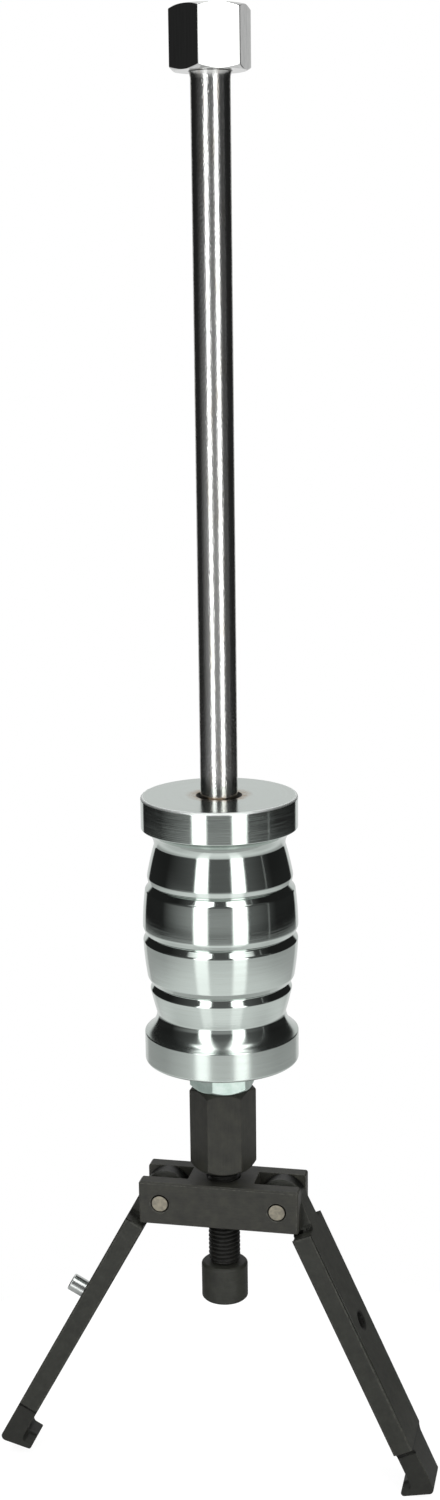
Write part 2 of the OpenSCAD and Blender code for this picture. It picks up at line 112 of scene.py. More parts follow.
# %% [markdown]
# ## Surfaces from numbers
# Most pieces were made on a lathe or with a hexagonal cutter, so each is a grid of points round
# the rod's axis: every row has a radius and a height, and every column an angle. Where the ends
# of a grid meet, their points are welded, which closes seams and poles. The faces then all turn
# outwards, and the normals are weighted by face area, so that flats stay flat beside rounded
# edges.

# %% From a grid of points to a mesh
WELD = 0.001 * MM


def round_axis(radius, height, angle):
    """x is the radius times the cosine of the angle, y the radius times its sine, and z the
    height. The three arrays are spread to rows by columns."""
    radius, height, angle = np.broadcast_arrays(radius, height, angle)
    return np.stack([radius * np.cos(angle), radius * np.sin(angle), height], axis=-1)


def grid_quads(rows, columns):
    """Corner numbers of the faces between neighbouring rows and columns of a grid."""
    corner = np.arange(rows * columns).reshape(rows, columns)
    quads = np.stack([corner[:-1, :-1], corner[:-1, 1:], corner[1:, 1:], corner[1:, :-1]], axis=-1)
    return quads.reshape(-1, 4)


def weld(mesh):
    """Joins points that lie on each other, drops faces without area and turns faces outwards."""
    work = bmesh.new()
    work.from_mesh(mesh)
    bmesh.ops.remove_doubles(work, verts=work.verts, dist=WELD)
    bmesh.ops.dissolve_degenerate(work, edges=work.edges, dist=WELD)
    bmesh.ops.recalc_face_normals(work, faces=work.faces)
    work.to_mesh(mesh)
    work.free()


def surface(name, points):
    """Mesh of a grid of points, given in millimetres."""
    rows, columns = points.shape[:2]
    mesh = bpy.data.meshes.new(name)
    mesh.from_pydata((points.reshape(-1, 3) * MM).tolist(), [], grid_quads(rows, columns).tolist())
    weld(mesh)
    return mesh

# %% [markdown]
# A finished mesh takes the place of its CAD node. It rides on the same body, so that it moves
# with the same joints, and it names the node that it hides.

# %% From a mesh to a piece
BODY_OF = {
    node: body
    for body, nodes in frame["record"]["behaviour"]["bodies"].items()
    for node in nodes
}


def stand_in(mesh, node, finishes):
    """Puts a mesh in the scene in place of a CAD node, on that node's body."""
    mesh.shade_smooth()
    piece = bpy.data.objects.new(node + "_piece", mesh)
    bpy.context.scene.collection.objects.link(piece)
    for finish in finishes:
        mesh.materials.append(finish)
    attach(piece, BODY_OF[node])
    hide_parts(node)
    print(node, "has", len(mesh.vertices), "points and", len(mesh.polygons), "faces")
    return piece


def even_normals(piece):
    """Weights each normal by the area of its faces."""
    modifier = piece.modifiers.new("even_normals", "WEIGHTED_NORMAL")
    modifier.mode = "FACE_AREA"
    return piece


def turned_piece(node, points, finish):
    """A piece that is one grid of points, with one finish, in place of a CAD node."""
    return even_normals(stand_in(surface(node + "_piece", points), node, [finish]))


def heights_mm(node):
    """Lowest and highest point of a CAD node, in millimetres."""
    low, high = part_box(node)
    return low.z / MM, high.z / MM

# %% [markdown]
# ## Finishes from nodes
# A finish could be a picture wrapped round the piece, but then its scale depends on the picture.
# Here each finish is worked out from the place on the piece, in millimetres, so a scratch has
# its real width anywhere. Colours are written as a designer would, in sRGB hex, and one function
# turns them to the linear light that the renderer uses.

# %% Colours and nodes
def srgb(text):
    """Linear colour of an sRGB hex value: below 0.04045 it is divided by 12.92, and above it the
    value plus 0.055, divided by 1.055, is raised to the power 2.4."""
    part = np.array([int(text[i:i + 2], 16) for i in (1, 3, 5)]) / 255
    linear = np.where(part <= 0.04045, part / 12.92, ((part + 0.055) / 1.055) ** 2.4)
    return (*linear.tolist(), 1.0)


def add(tree, kind, inputs=(), **settings):
    """Adds a node, sets its properties, and fills its inputs with values or links. A node given
    as an input stands for its first output."""
    node = tree.nodes.new("ShaderNode" + kind)
    for name, value in settings.items():
        setattr(node, name, value)
    for name, value in dict(inputs).items():
        if isinstance(value, bpy.types.Node):
            value = value.outputs[0]
        if isinstance(value, bpy.types.NodeSocket):
            tree.links.new(value, node.inputs[name])
        else:
            node.inputs[name].default_value = value
    return node


def colour_steps(node, steps):
    """Sets a colour ramp from pairs of place and colour: a hex value, or a level of grey."""
    elements = node.color_ramp.elements
    while len(elements) < len(steps):
        elements.new(0.5)
    for element, (place, colour) in zip(elements, steps):
        element.position = place
        element.color = srgb(colour) if isinstance(colour, str) else (colour, colour, colour, 1)
    return node

# %% [markdown]
# All finishes of this tool are metal, so they begin and end alike. Each begins with the place on
# the piece, and ends with a colour, a roughness and a relief whose depth is a real length.

# %% Begin and end a finish
def new_finish(name):
    """An empty material, its tree of nodes, and the place on the piece."""
    finish = bpy.data.materials.new(name)
    finish.use_nodes = True
    tree = finish.node_tree
    tree.nodes.clear()
    return finish, tree, add(tree, "TexCoord").outputs["Object"]


def end_metal(finish, colour, rough, height, relief_mm, others=None):
    """A metal of a given colour and roughness. A change of 1 in the height is a relief of
    relief_mm. Other settings of the shader can be given too."""
    tree = finish.node_tree
    relief = add(tree, "Bump", {"Distance": relief_mm * MM, "Height": height})
    metal = {"Base Color": colour, "Metallic": 1.0, "Roughness": rough, "Normal": relief}
    shader = add(tree, "BsdfPrincipled", {**metal, **(others or {})})
    add(tree, "OutputMaterial", {"Surface": shader})
    return finish


def drawn_marks(tree, place, sizes_mm, detail, roughness=0.5):
    """Cloudy marks that have given sizes along x, y and z. The place is divided by the sizes,
    and noise is read there."""
    scale = [1 / (size * MM) for size in sizes_mm]
    at = add(tree, "Mapping", {"Vector": place, "Scale": scale})
    return add(tree, "TexNoise", {"Vector": at, "Scale": 1.0, "Detail": detail, "Roughness": roughness})

# %% [markdown]
# ## Outlines with broken edges
# No real edge is perfectly sharp. A turner breaks it with a file, and that small round is what
# catches the light. Each outline here is a list of corners with a radius for each. A corner is
# replaced by a short curve that leaves one side and joins the other without a kink.

# %% Rounded outlines
MOST_OF_SIDE = 0.45


def soften(corners, radius, steps=4):
    """Rounds the corners of an outline, or of many outlines at once. Each corner is cut back by
    its radius along both sides, but by no more than MOST_OF_SIDE of a side, and the two cuts are
    joined by the curve (1-t)(1-t) start + 2t(1-t) corner + t t end. The first axis counts the
    corners, and the last one holds radius and height."""
    before = np.roll(corners, 1, axis=0) - corners
    after = np.roll(corners, -1, axis=0) - corners
    before_len = np.linalg.norm(before, axis=-1, keepdims=True)
    after_len = np.linalg.norm(after, axis=-1, keepdims=True)
    radius = np.reshape(radius, (len(corners),) + (1,) * (corners.ndim - 1))
    cutback = np.minimum(radius, MOST_OF_SIDE * np.minimum(before_len, after_len))
    start = corners + before / np.maximum(before_len, 1e-9) * cutback
    end = corners + after / np.maximum(after_len, 1e-9) * cutback
    t = np.linspace(0, 1, steps + 1).reshape((1, steps + 1) + (1,) * (corners.ndim - 1))
    corner = corners[:, None]
    curve = (1 - t) ** 2 * start[:, None] + 2 * t * (1 - t) * corner + t ** 2 * end[:, None]
    return curve.reshape((-1,) + corners.shape[1:])


def lathe(outline, columns):
    """Turns an outline of radius and height round the Z axis. The outline closes on itself, and
    the first column is half a step off the X axis, so the widest faces are flats."""
    closed = np.concatenate([outline, outline[:1]])
    angle = (np.arange(columns + 1) + 0.5) * 2 * np.pi / columns
    return round_axis(closed[:, 0, None], closed[:, 1, None], angle[None, :])


def arc(centre, radius, from_deg, to_deg, steps):
    """Points of an arc in the plane of radius and height."""
    turn = np.radians(np.linspace(from_deg, to_deg, steps + 1))
    return np.stack([centre[0] + radius * np.cos(turn), centre[1] + radius * np.sin(turn)], axis=-1)

# %% [markdown]
# ## The end nut
# The stop at the top of the rod is a thick hexagonal nut. It was milled from hexagon bar, its
# ends were chamfered on a lathe, and it was polished and chromed. It could be a cylinder of six
# sides with a bevel, but the chamfer is a cone, and a cone meets each flat in a curve that dips
# at the corners. So every column has its own outline: across the end face, out along the cone
# to where it meets the flat at that angle, up the flat, and back down the bore.

# %% Hexagonal nuts
NUT_ROUNDS = np.array([0.2, 0.3, 0.5, 0.5, 0.3, 0.3, 0.2, 0.2])


def hexagon(across, corner_round, per_side=14, per_corner=6):
    """Angles and radii of a hexagon with rounded corners. Off a flat's middle by an angle d the
    radius is half the width over the cosine of d. At a corner it is that of a small circle
    tangent to both flats."""
    half = across / 2
    inset = half - corner_round
    side = np.arctan(inset * np.tan(np.pi / 6) / half)
    on_flat = np.linspace(-side, side, per_side + 1)
    on_corner = np.linspace(side, np.pi / 3 - side, per_corner + 1)[1:-1]
    flat_r = half / np.cos(on_flat)
    off = on_corner - np.pi / 6
    centre = inset / np.cos(np.pi / 6)
    corner_r = centre * np.cos(off) + np.sqrt(corner_round ** 2 - (centre * np.sin(off)) ** 2)
    turns = np.arange(6)[:, None] * np.pi / 3 + np.pi / 6
    angle = (turns + np.concatenate([on_flat, on_corner])[None, :]).ravel()
    radius = np.tile(np.concatenate([flat_r, corner_r]), 6)
    return np.append(angle, angle[0] + 2 * np.pi), np.append(radius, radius[0])


def hex_nut(across, low, high, bore_r, turn, bevel, slope, corner_round, mouths=(0.4, 0.4)):
    """Grid of a nut. The chamfer cone leaves the end face at the corner radius less the bevel,
    so it meets a flat at the height (flat's radius - that radius) times the slope's tangent."""
    angle, flat_r = hexagon(across, corner_round)
    face_r = np.minimum(across / np.sqrt(3) - bevel, flat_r)
    dip = (flat_r - face_r) * np.tan(np.radians(slope))
    bottom_mouth, top_mouth = mouths
    same = np.ones_like(flat_r)
    radius = [(bore_r + bottom_mouth) * same, face_r, flat_r, flat_r, face_r]
    radius += [(bore_r + top_mouth) * same, bore_r * same, bore_r * same]
    height = [low * same, low * same, low + dip, high - dip, high * same]
    height += [high * same, (high - top_mouth) * same, (low + bottom_mouth) * same]
    outline = soften(np.stack([np.array(radius), np.array(height)], axis=-1), NUT_ROUNDS)
    closed = np.concatenate([outline, outline[:1]])
    return round_axis(closed[..., 0], closed[..., 1], angle[None, :] + np.radians(turn))

# %% [markdown]
# ### Chrome plate
# Polished chrome is nearly a mirror, and what the eye sees is the room: one face of the nut is
# black, the next white. Fine upright lines stay from the grinding of the bar under the plate.
# Real ones are some hundredths of a millimetre apart. Here they are coarser, to show.

# %% Chrome finish
def polished_chrome():
    """Chrome plate over ground bar: a bright metal with faint upright lines."""
    finish, tree, place = new_finish("polished_chrome")
    line_mm, line_length_mm, sway_mm = 0.7, 25, 25 / 3
    lines = drawn_marks(tree, place, (line_mm, line_mm, line_length_mm), 3.0)
    sway = add(tree, "TexNoise", {"Vector": place, "Scale": 1 / (sway_mm * MM), "Detail": 1.0})
    height = add(tree, "Math", {0: sway, 1: 6.0, 2: lines}, operation="MULTIPLY_ADD")
    tint = colour_steps(add(tree, "ValToRGB", {"Fac": lines}), [(0.3, "#cfd0cf"), (0.7, "#e2e3e2")])
    rough = add(tree, "MapRange", {"Value": lines, "To Min": 0.05, "To Max": 0.11})
    return end_metal(finish, tint, rough, height, relief_mm=0.004)

# %% Make the end nut
ROD_R = 10.0
FIT = 0.01
END_NUT_AF = 36
END_NUT_TURN = 26
end_low, end_high = heights_mm("end_nut")
end_nut_grid = hex_nut(END_NUT_AF, end_low, end_high, ROD_R + FIT, END_NUT_TURN,
                       bevel=2.8, slope=30, corner_round=0.7, mouths=(1.2, 1.5))
turned_piece("end_nut", end_nut_grid, polished_chrome())

# %% [markdown]
# ## The slide rod
# The rod is drawn and ground steel bar, threaded where it screws into the nut below. A thread is
# a groove wound round a bar. A stack of rings would look alike from far off, but a real thread
# climbs, so each row of this grid climbs by one pitch in one turn. The rows are cut off level
# at the ends, where all of them run together.

# %% Threads
THREAD_DEPTH = 0.6
PHASE = np.array([0, 0.14, 0.18, 0.43, 0.47, 0.67, 0.71, 0.96, 1.0])
CUT = np.array([0, 0, 0.08, 0.92, 1, 1, 0.92, 0.08, 0])


def thread(crest_r, pitch, low, high, angle, fade=0.0):
    """Radius and height of a right-hand thread. A row that starts at a phase of the pitch climbs
    by the pitch times the angle over a full turn. The depth of the cut is read from its phase:
    flat on the crest, straight down the flank, flat in the root and up again. Near the top the
    cut fades out over a given length."""
    turns = np.arange(np.floor(low / pitch) - 2, np.ceil(high / pitch) + 1)
    start = (turns[:, None] * pitch + PHASE[None, :-1] * pitch).reshape(-1, 1)
    climb = pitch * angle[None, :] / (2 * np.pi)
    height = np.clip(start + climb, low, high)
    cut = np.interp((height - climb) / pitch % 1.0, PHASE, CUT)
    if fade > 0:
        cut = cut * np.clip((high - height) / fade, 0, 1)
    return crest_r - cut * pitch * THREAD_DEPTH, height


def rings(pairs, columns):
    """Rows of constant radius and height."""
    pairs = np.array(pairs, float)
    wide = np.ones((1, columns))
    return pairs[:, :1] * wide, pairs[:, 1:] * wide

# %% [markdown]
# ### Ground steel
# A ground rod is a clean mirror across and slightly wavy along its length, so the dark and white
# bands in it are straight with soft, mottled borders: long shallow waves, and a finer speckle on
# them. Oil and handling leave faint brown traces.

# %% Rod finish
def ground_rod():
    """Bright drawn bar, centreless ground: waves along it, a fine speckle and a film of oil."""
    finish, tree, place = new_finish("bright_rod")
    wave_mm, speckle_mm = np.array([2.2, 2.2, 14]), (0.8, 0.8, 1.4)
    waves_per_patch = 0.6
    waves = drawn_marks(tree, place, wave_mm, 2.0)
    speckle = drawn_marks(tree, place, speckle_mm, 2.0)
    film = drawn_marks(tree, place, wave_mm / waves_per_patch, 4.0)
    height = add(tree, "Math", {0: waves, 1: 0.3, 2: speckle}, operation="MULTIPLY_ADD")
    tint = colour_steps(add(tree, "ValToRGB", {"Fac": film}),
                        [(0.3, "#bdbab4"), (0.45, "#cbcbc9"), (0.75, "#d3d4d3")])
    rough = add(tree, "MapRange", {"Value": film, "To Min": 0.2, "To Max": 0.14})
    return end_metal(finish, tint, rough, height, relief_mm=0.085)

# %% Make the slide rod
ROD_PITCH = 2.5
ROD_THREAD_RUN = 14
FLARE, FLARE_RUN, FLARE_STEPS = 0.9, 4, 10
END_ROUND = [(0, -0.8), (-0.3, -0.25), (-0.9, 0)]
CENTRE_R, CENTRE_DEPTH = 2.0, 1.2
ROD_COLUMNS = 96
rod_low, rod_high = heights_mm("slide_rod")
weight_low, weight_high = heights_mm("sliding_weight")
rod_angle = np.linspace(0, 2 * np.pi, ROD_COLUMNS + 1)
rod_core = ROD_R - ROD_PITCH * THREAD_DEPTH
thread_r, thread_z = thread(ROD_R, ROD_PITCH, rod_low, weight_low + ROD_THREAD_RUN, rod_angle,
                            fade=ROD_PITCH)
# The first turn comes out of the core at 45 degrees, as the bar's end is chamfered.
thread_r = np.minimum(thread_r, rod_core + thread_z - rod_low)
flare_arc_r = (FLARE_RUN ** 2 + FLARE ** 2) / (2 * FLARE)
flare_turn = math.degrees(math.asin(FLARE_RUN / flare_arc_r))
flare = arc((ROD_R + flare_arc_r, end_low - FLARE_RUN), flare_arc_r, 180, 180 - flare_turn,
            FLARE_STEPS)
bottom_r, bottom_z = rings([(0, rod_low), (rod_core, rod_low)], ROD_COLUMNS + 1)
top_pairs = [*flare.tolist(), (ROD_R, end_low)]
top_pairs += [(ROD_R + out, rod_high + up) for out, up in END_ROUND]
top_pairs += [(CENTRE_R, rod_high), (0, rod_high - CENTRE_DEPTH)]
top_r, top_z = rings(top_pairs, ROD_COLUMNS + 1)
rod_grid = round_axis(np.concatenate([bottom_r, thread_r, top_r]),
                      np.concatenate([bottom_z, thread_z, top_z]), rod_angle[None, :])
turned_piece("slide_rod", rod_grid, ground_rod())

# %% [markdown]
# ## The sliding weight
# The weight is turned from one bar: a flange at each end keeps the hand in place, and between
# two hollows the grip is a long shallow barrel with three grooves. All of it is one outline. Its
# arcs are the same ones as in the CAD model, and its lips get a small round from the file.

# %% Sizes of the weight
WEIGHT_R = 42.0
WAIST_R = WEIGHT_R - 6.8
BORE_R = 10.5
MOUTH = 2.0
TOP_FLANGE, TOP_HOLLOW = 17.2, 9.2
BOTTOM_FLANGE, BOTTOM_HOLLOW = 16.2, 11.4
GROOVE_SPACING, GROOVE_W, GROOVE_DEPTH, GROOVE_DROP = 27.9, 7.2, 2.9, 1.9
STEP_IN, STEP_UP = 1.1, 0.6
ARC_STEPS, RUN_POINTS = 14, 9
length = weight_high - weight_low
grip_low, grip_high = BOTTOM_FLANGE + BOTTOM_HOLLOW, length - TOP_FLANGE - TOP_HOLLOW
grip_half = (grip_high - grip_low) / 2
grip_middle = grip_low + grip_half
barrel_r = (grip_half ** 2 + (WEIGHT_R - WAIST_R) ** 2) / (2 * (WEIGHT_R - WAIST_R))
print("The weight is", round(length, 2), "mm long, with a grip of", round(2 * grip_half, 2), "mm")


def hollow(rise):
    """Radius and turn of an arc that runs from the waist, where it is upright, out to the
    flange's radius over a given rise."""
    out = WEIGHT_R - WAIST_R
    radius = (out ** 2 + rise ** 2) / (2 * out)
    return radius, math.degrees(math.asin(rise / radius))


def grip_r(z):
    """Radius of the barrel at a height: the arc's centre plus the root of its radius squared
    less the height from the middle squared."""
    return WEIGHT_R - barrel_r + np.sqrt(barrel_r ** 2 - (z - grip_middle) ** 2)


def barrel_run(low, high):
    """Points up the barrel between two heights."""
    z = np.linspace(low, high, RUN_POINTS)
    return np.stack([grip_r(z), z], axis=-1)

# %% Outline of the weight
groove_z = grip_middle - GROOVE_DROP + GROOVE_SPACING * np.array([-1, 0, 1])
lip_z = np.array([groove_z - GROOVE_W / 2, groove_z + GROOVE_W / 2]).T.ravel()
stops = np.concatenate([[grip_low], lip_z, [grip_high]]).reshape(-1, 2)
low_r, low_turn = hollow(BOTTOM_HOLLOW)
high_r, high_turn = hollow(TOP_HOLLOW)
bottom_arc = arc((WAIST_R + low_r, grip_low), low_r, 180 + low_turn, 180, ARC_STEPS)
top_arc = arc((WAIST_R + high_r, grip_high), high_r, 180, 180 - high_turn, ARC_STEPS)
# A groove has two corners: its root, and a step just above it and near the surface.
roots = [[[grip_r(z) - GROOVE_DEPTH, z], [grip_r(z) - STEP_IN, z + STEP_UP]] for z in groove_z]
runs = [barrel_run(low, high) for low, high in stops]
grip = np.concatenate([runs[0], roots[0], runs[1], roots[1], runs[2], roots[2], runs[3]])
outline = np.concatenate([
    [[BORE_R, MOUTH], [BORE_R + MOUTH, 0], [WEIGHT_R, 0]], bottom_arc, grip[1:-1], top_arc,
    [[WEIGHT_R, length], [BORE_R + MOUTH, length], [BORE_R, length - MOUTH]]])
print("The weight's outline has", len(outline), "corners")

# %% [markdown]
# The arcs are runs of short sides that hardly bend, and those stay as they are. A corner that
# bends by more than 15 degrees gets the file's small round, and the rims, which bend by more
# than 85, a larger one.

# %% Round the weight's lips and rims
EDGE_ROUND, RIM_ROUND = 0.62, 1.6
EDGE_BEND, RIM_BEND = math.radians(15), math.radians(85)
SAME_POINT = 1e-4
side = np.diff(np.concatenate([outline[-1:], outline, outline[:1]]), axis=0)
heading = np.arctan2(side[:, 1], side[:, 0])
bend = np.abs(np.angle(np.exp(1j * np.diff(heading))))
edge_round = np.where(bend > EDGE_BEND, EDGE_ROUND, 0.0)
edge_round[bend > RIM_BEND] = RIM_ROUND
outline = soften(outline, edge_round, steps=6)
kept = np.linalg.norm(np.diff(outline, axis=0, append=outline[:1]), axis=1) > SAME_POINT
weight_outline = outline[kept] + [0, weight_low]
print("Rounded, it has", len(weight_outline), "points")

# %% [markdown]
# ### Turned steel
# The tool leaves a groove of a fraction of a millimetre each turn, and the weight was polished
# after it. So it mirrors the room, drawn out up and down by rings of fine lines. The rings
# follow the height on the barrel and the radius on the end faces, and adding the two serves
# both. Round the bore, where grease holds water, there is a trace of rust.

# %% Weight finish
def turned_steel(top_mm):
    """Polished turned steel with a cool clear passivation: rings of lathe marks, and rust round
    the bore. The bore's mouth gets painted shade, painted lighter at the front where its chamfer
    is lit, and the top rim gets a painted highlight. Zones are mixed in between a start and an end,
    both in mm: of the height, of the radius, or of y, which is below zero towards the front."""
    finish, tree, place = new_finish("turned_steel")
    part = add(tree, "SeparateXYZ", {0: place})
    along_y, up = part.outputs[1], part.outputs[2]
    flat = add(tree, "CombineXYZ", {0: part, 1: along_y})
    radius = add(tree, "VectorMath", {0: flat}, operation="LENGTH").outputs["Value"]
    around = add(tree, "SeparateXYZ", {0: add(tree, "VectorMath", {0: flat}, operation="NORMALIZE")})
    run = add(tree, "Math", {0: up, 1: radius}, operation="ADD")
    marks = {}
    for what, mark_mm in (("polish", 0.2), ("feed", 1.1)):
        ring = add(tree, "Math", {0: run, 1: mark_mm * MM}, operation="DIVIDE")
        ring_at = add(tree, "CombineXYZ", {0: around, 1: around.outputs[1], 2: ring})
        marks[what] = add(tree, "TexNoise", {"Vector": ring_at, "Scale": 1.0, "Detail": 2.0})
    sway_mm, patch_mm = 50 / 3, 50 / 13
    sway = add(tree, "TexNoise", {"Vector": place, "Scale": 1 / (sway_mm * MM), "Detail": 1.0})
    patch = add(tree, "TexNoise", {"Vector": place, "Scale": 1 / (patch_mm * MM), "Detail": 5.0})
    height = add(tree, "Math", {0: sway, 1: 3.0, 2: marks["polish"]}, operation="MULTIPLY_ADD")
    tint = colour_steps(add(tree, "ValToRGB", {"Fac": marks["feed"]}),
                        [(0.3, "#c4ccc7"), (0.7, "#c8d1cc")])
    zone = {}
    for what, value, start_mm, end_mm, level in (
            ("near_top", up, top_mm - 6, top_mm - 2, 1), ("near_bore", radius, 21, 12.5, 1),
            ("bore_shade", radius, 12.6, 12.2, 1), ("lit_front", along_y, -9.5, -11.5, 1),
            ("highlight_out", radius, WEIGHT_R - 1.6, WEIGHT_R - 1.2, 1),
            ("highlight_up", up, top_mm - 1.5, top_mm - 0.9, 1),
            ("face", up, top_mm - 0.4, top_mm - 0.1, 0.25),
            ("foot", up, top_mm - 123, top_mm - 127, 0.25)):
        zone[what] = add(tree, "MapRange", {"Value": value, "From Min": start_mm * MM,
                                            "From Max": end_mm * MM, "To Max": level})
    zone["near_bore"].interpolation_type = "SMOOTHSTEP"
    rust_here = add(tree, "Math", {0: zone["near_bore"], 1: zone["near_top"]}, operation="MULTIPLY")
    rust_at = add(tree, "Math", {0: rust_here, 1: patch}, operation="MULTIPLY")
    rust = add(tree, "MapRange", {"Value": rust_at, "From Min": 0.12, "From Max": 0.6, "To Max": 0.75})
    # Painted highlight: the top outer rim of the weight is painted near white.
    rim_highlight = add(tree, "Math", {0: zone["highlight_out"], 1: zone["highlight_up"]}, operation="MULTIPLY")
    # Painted shade in the bore's mouth: dark at the back and sides, and painted lighter at the front,
    # where the chamfer is lit.
    bore_shade_colour = add(tree, "Mix", {0: zone["lit_front"], 6: srgb("#2c2822"), 7: srgb("#a08e78")},
               data_type="RGBA").outputs[2]
    colour = tint
    for share, other in ((rust, srgb("#a58d72")), (zone["bore_shade"], bore_shade_colour), (rim_highlight, srgb("#f0f4f2"))):
        colour = add(tree, "Mix", {0: share, 6: colour, 7: other}, data_type="RGBA").outputs[2]
    dull = zone["bore_shade"]
    for softer in (rust, rim_highlight, zone["face"], zone["foot"]):
        dull = add(tree, "Math", {0: dull, 1: softer}, operation="MAXIMUM")
    rough = add(tree, "MapRange", {"Value": dull, "To Min": 0.08, "To Max": 0.5})
    return end_metal(finish, colour, rough, height, relief_mm=0.012)

# %% Make the weight
WEIGHT_COLUMNS = 192
turned_piece("sliding_weight", lathe(weight_outline, WEIGHT_COLUMNS),
             turned_steel(weight_high))

# %% [markdown]
# ## The lock nut and the coupling nut
# The thin zinc-plated nut jams the rod in the long black coupling nut, which joins the rod to
# the spindle. They use the end nut's function, with a narrower width and a steeper chamfer. The
# long nut could be a scaled copy, but then its chamfer would stretch.

# %% Zinc finish
def zinc_plate(name, dark, light, rough_low, rough_high):
    """Bright zinc with a clear blue passivation: a pale metal with soft clouds."""
    finish, tree, place = new_finish(name)
    cloud_mm, line_mm, line_length_mm = 5, 0.6, 12
    clouds = add(tree, "TexNoise", {"Vector": place, "Scale": 1 / (cloud_mm * MM), "Detail": 5.0,
                                    "Roughness": 0.6})
    lines = drawn_marks(tree, place, (line_mm, line_mm, line_length_mm), 2.0)
    height = add(tree, "Math", {0: clouds, 1: 3.0, 2: lines}, operation="MULTIPLY_ADD")
    tint = colour_steps(add(tree, "ValToRGB", {"Fac": clouds}), [(0.3, dark), (0.7, light)])
    rough = add(tree, "MapRange", {"Value": clouds, "To Min": rough_low, "To Max": rough_high})
    return end_metal(finish, tint, rough, height, relief_mm=0.006)

# %% [markdown]
# ### Black oxide
# The dark parts are blackened steel. The hot bath turns the skin of the steel into a thin black
# oxide and leaves the shape and the grain of the metal under it, then oil gives it a dull sheen.
# It isn't a paint: grain, draw lines and scale marks show through, and edges rub through to
# bare steel first.

# %% Black oxide finish
NUT_SHADES = ("#282824", "#2f2f2a", "#36362f")
# The legs and the cap get a darker copy of the same oxide: painted shade that offsets the extra light
# their upward faces catch.
LEG_TONES_PAINTED_DARKER = ("#252622", "#2b2c27", "#31322d")
# The darkest tones are painted shade: for the spindle's thread, which lies in the block's shadow, and
# for the recess of the right leg's hole.
PAINTED_SHADE_TONES = ("#121210", "#171715", "#1c1c1a")
GRAIN_MM, CLOUD_MM, SCUFF_MM = 0.7, 6, 1.5
CLAW_CREASE_SHADE_HALF, CLAW_FADE, CLAW_SHADE = 0.45, 0.6, 0.32


def black_oxide(name, shades, grain=(1, 1, 1), turn=(0, 0, 0), relief_mm=0.02, wear=0.0, claw_mm=None):
    """Oiled black oxide on steel. The grain can be drawn out along one direction of the piece,
    and wear shows bare steel in broken patches. Below claw_mm, a height in the turned axes, the
    piece is darker, with a fine line of painted shade where that starts, in the crease at the claw."""
    finish, tree, place = new_finish(name)
    turned = add(tree, "Mapping", {"Vector": place, "Rotation": turn}, vector_type="TEXTURE")
    fine = drawn_marks(tree, turned, [GRAIN_MM * stretch for stretch in grain], 4.0, roughness=0.6)
    clouds = add(tree, "TexNoise", {"Vector": turned, "Scale": 1 / (CLOUD_MM * MM), "Detail": 4.0,
                                    "Roughness": 0.55})
    scuff = add(tree, "TexNoise", {"Vector": turned, "Scale": 1 / (SCUFF_MM * MM), "Detail": 3.0})
    both = add(tree, "Math", {0: fine, 1: 0.5, 2: clouds}, operation="MULTIPLY_ADD")
    tint = colour_steps(add(tree, "ValToRGB", {"Fac": both}), list(zip((0.5, 0.75, 1.0), shades)))
    bare = add(tree, "MapRange", {"Value": scuff, "From Min": 0.3, "From Max": 0.75, "To Max": wear},
               interpolation_type="SMOOTHSTEP")
    colour = add(tree, "Mix", {0: bare, 6: tint, 7: srgb("#74746d")}, data_type="RGBA").outputs[2]
    if claw_mm is not None:
        up = add(tree, "SeparateXYZ", {0: turned}).outputs[2]
        claw = add(tree, "MapRange", {"Value": up, "From Min": claw_mm * MM,
                                      "From Max": (claw_mm - CLAW_FADE) * MM, "To Max": CLAW_SHADE})
        # Painted shade: a fine dark line in the crease where the claw begins.
        line = add(tree, "Math", {0: up, 1: claw_mm * MM, 2: CLAW_CREASE_SHADE_HALF * MM}, operation="COMPARE")
        shade = add(tree, "Math", {0: claw, 1: line}, operation="MAXIMUM")
        colour = add(tree, "Mix", {0: shade, 6: colour, 7: srgb("#0c0c0b")}, data_type="RGBA").outputs[2]
    rough = add(tree, "MapRange", {"Value": fine, "To Min": 0.6, "To Max": 0.48})
    metallic = add(tree, "MapRange", {"Value": bare, "To Max": 0.9})
    return end_metal(finish, colour, rough, fine, relief_mm,
                     {"Metallic": metallic, "Specular IOR Level": 0.35})

# %% Make the two lower nuts
LOWER_AF = 32
LOCK_TURN, COUPLING_TURN = 24.6, 14.2
lock_zinc = zinc_plate("zinc_plate", "#b9cdc4", "#d6e4de", 0.36, 0.48)
drawn_oxide = black_oxide("black_oxide_drawn", NUT_SHADES, grain=(1, 1, 18), relief_mm=0.012)
for node, turn, slot, finish in (("lock_nut", LOCK_TURN, "zinc_plate", lock_zinc),
                                 ("coupling_nut", COUPLING_TURN, "black_oxide", drawn_oxide)):
    nut_grid = hex_nut(LOWER_AF, *heights_mm(node), ROD_R + FIT, turn,
                       bevel=3.0, slope=38, corner_round=0.6)
    turned_piece(node, nut_grid, finish)

# %% [markdown]
# ## The pressure spindle
# The spindle screws through the block and presses on the shaft end through its cap. Only its
# thread shows. It is cut as deep as the rod's thread, and its lower end is a plain nose with a
# groove for the wire ring that holds the cap.

# %% Make the spindle
SPINDLE_R, SPINDLE_PITCH = 8.85, 2.5
NOSE_R, NOSE_BEVEL = 6.5, 0.6
WIRE, GAP, TURN_FIT = 1.4, 0.3, 0.05
RING_DROP = 5.0
spindle_low, spindle_high = heights_mm("pressure_spindle")
cap_low, cap_high = heights_mm("pressure_cap")
shoulder = cap_high + GAP
ring_z = cap_high - RING_DROP
groove_half = WIRE / 2 + GAP
groove_r = NOSE_R + TURN_FIT - WIRE / 2 - GAP
spindle_core = SPINDLE_R - SPINDLE_PITCH * THREAD_DEPTH
spin_r, spin_z = thread(SPINDLE_R, SPINDLE_PITCH, shoulder, spindle_high, rod_angle)
